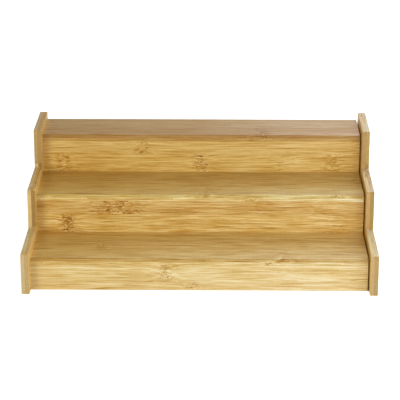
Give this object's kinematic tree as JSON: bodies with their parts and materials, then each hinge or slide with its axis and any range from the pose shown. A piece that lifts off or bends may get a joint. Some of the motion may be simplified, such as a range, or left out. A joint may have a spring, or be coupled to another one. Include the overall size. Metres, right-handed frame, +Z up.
{
  "type": "expanding tiered shelf riser",
  "caption": "Bamboo step shelf for jars and tins: tiered treads between stair-shaped end panels; the right-hand half slides out sideways to widen it.",
  "frame": {"origin": "middle of the closed shelf's footprint, on the plane it stands on", "axes": "+X to the shelf's right, the way the inner section slides out; +Y from the front to the back; +Z up"},
  "size_m": [0.38, 0.235, 0.1333],
  "materials": {
    "end_panel_bamboo": "clear satin lacquer over laminated bamboo, edges eased",
    "tread_bamboo": "clear satin lacquer over laminated bamboo strips",
    "riser_bamboo": "clear satin lacquer over laminated bamboo strips",
    "support_bamboo": "sanded laminated bamboo, thin lacquer",
    "dowel_bamboo": "raw turned bamboo, glued"
  },
  "bodies": {
    "outer_section": {"left_end_panel": "end_panel_bamboo", "outer_lower_tread": "tread_bamboo", "outer_middle_tread": "tread_bamboo", "outer_top_tread": "tread_bamboo", "outer_lower_riser": "riser_bamboo", "outer_middle_riser": "riser_bamboo", "outer_top_riser": "riser_bamboo", "outer_rear_rail": "riser_bamboo", "left_panel_dowels": "dowel_bamboo", "outer_step_dowels": "dowel_bamboo"},
    "inner_section": {"right_end_panel": "end_panel_bamboo", "inner_lower_tread": "tread_bamboo", "inner_middle_tread": "tread_bamboo", "inner_top_tread": "tread_bamboo", "inner_lower_riser": "riser_bamboo", "inner_middle_riser": "riser_bamboo", "inner_top_riser": "riser_bamboo", "inner_rear_rail": "riser_bamboo", "inner_support_rib": "support_bamboo", "stop_pins": "dowel_bamboo", "right_panel_dowels": "dowel_bamboo", "inner_step_dowels": "dowel_bamboo", "support_rib_dowels": "dowel_bamboo"}
  },
  "joints": [
    {"name": "section_slide", "type": "slide", "parent": "outer_section", "child": "inner_section", "axis": [1, 0, 0], "range_m": [0, 0.23]}
  ]
}
